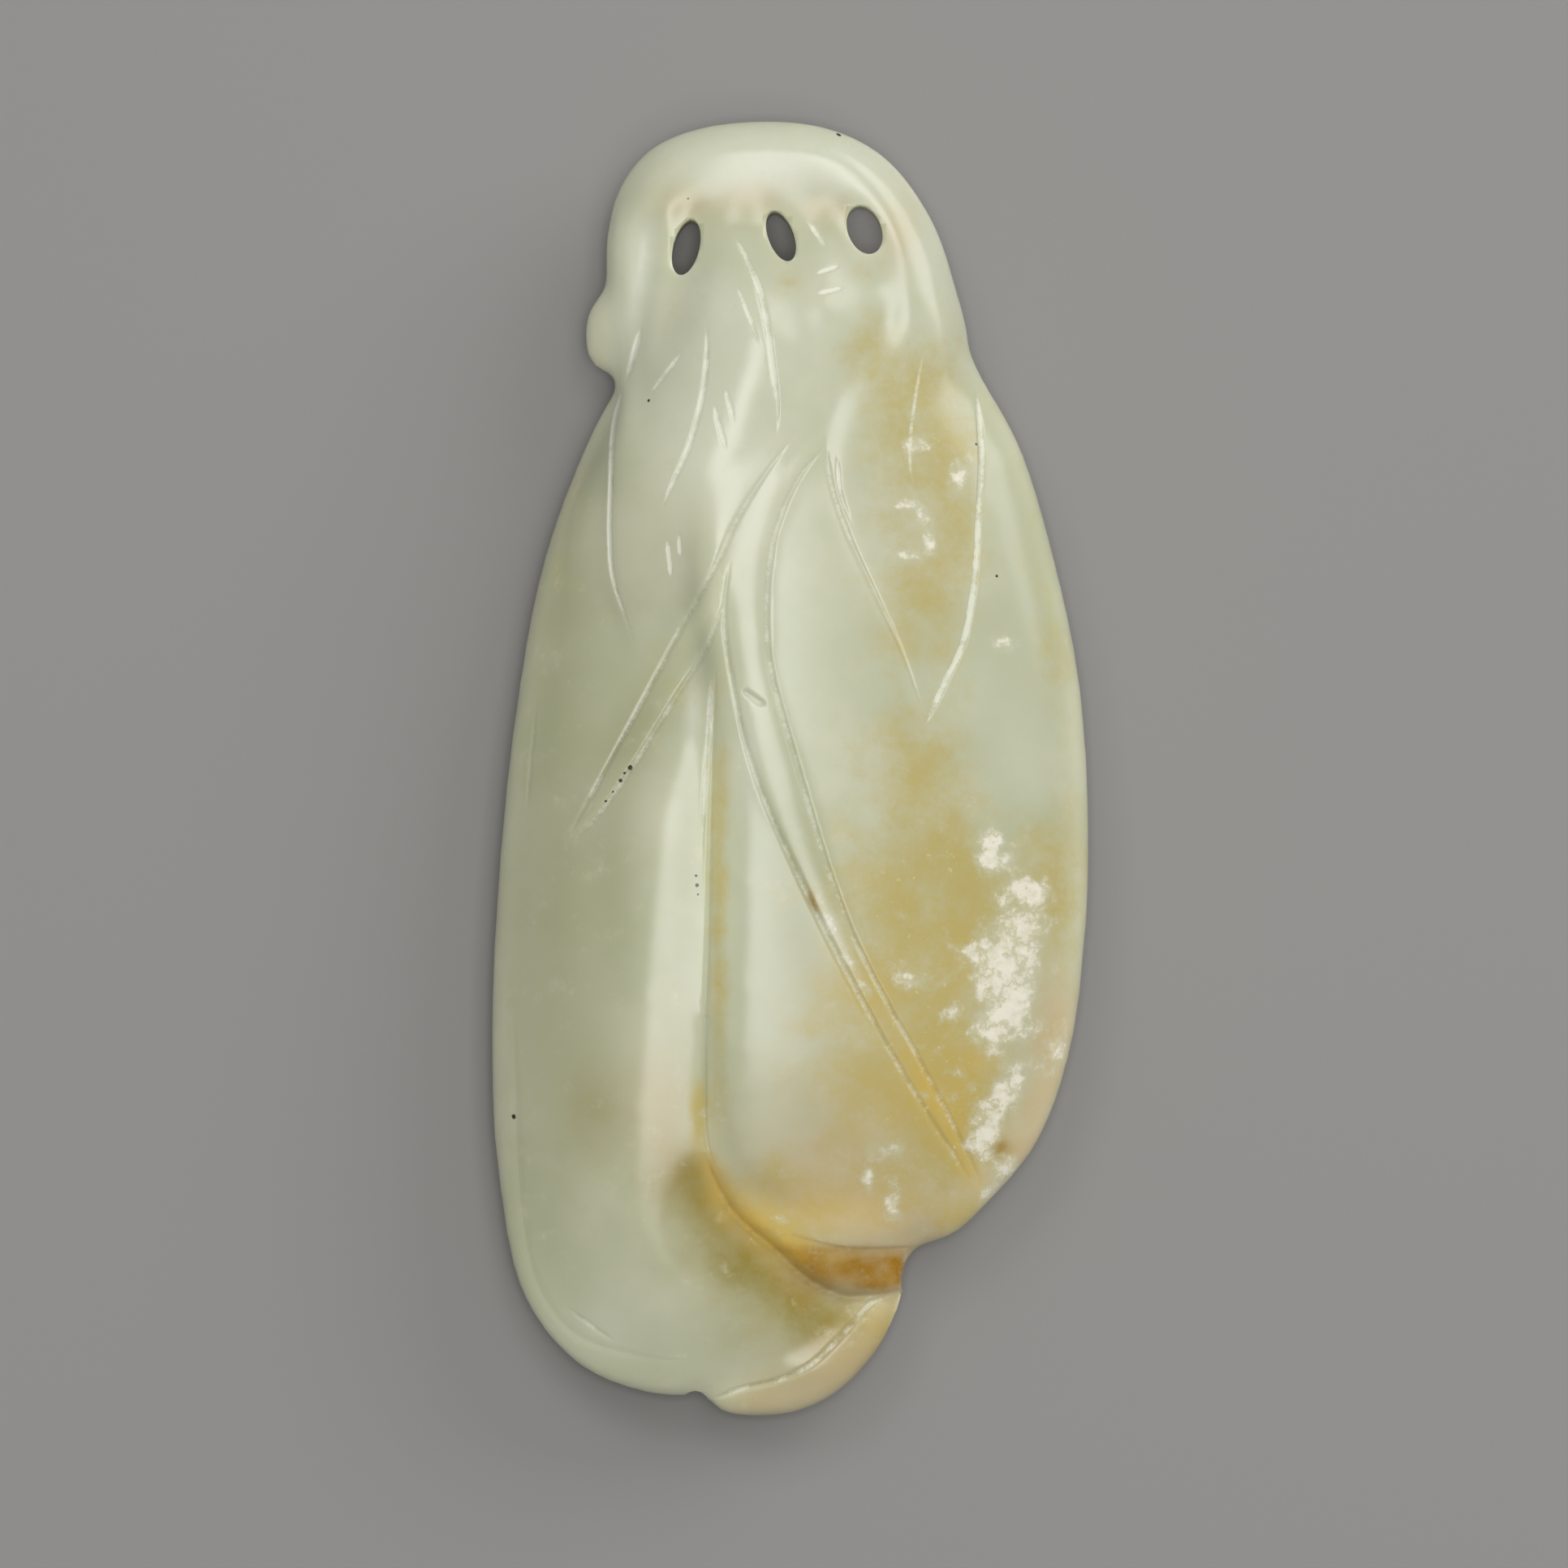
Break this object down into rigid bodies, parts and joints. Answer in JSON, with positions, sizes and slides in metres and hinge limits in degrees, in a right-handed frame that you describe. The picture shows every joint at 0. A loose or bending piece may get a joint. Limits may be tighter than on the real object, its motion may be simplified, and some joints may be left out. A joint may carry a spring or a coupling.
{
  "type": "carved jade pendant",
  "caption": "Pale jade pendant carved as long fruits lying side by side under draped leaves, with a pierced stem loop for a cord and a flat-lying back.",
  "frame": {"origin": "on the surface that the pendant lies on, under the middle of its bounding box", "axes": "+X to the right and +Y to the stem loop, both as seen from the front, +Z out of the carved front"},
  "size_m": [0.0323, 0.07, 0.0119],
  "materials": {
    "nephrite_jade": "polished, translucent, pale celadon with yellow skin patches"
  },
  "bodies": {
    "root": {"jade_carving": "nephrite_jade"}
  },
  "joints": []
}
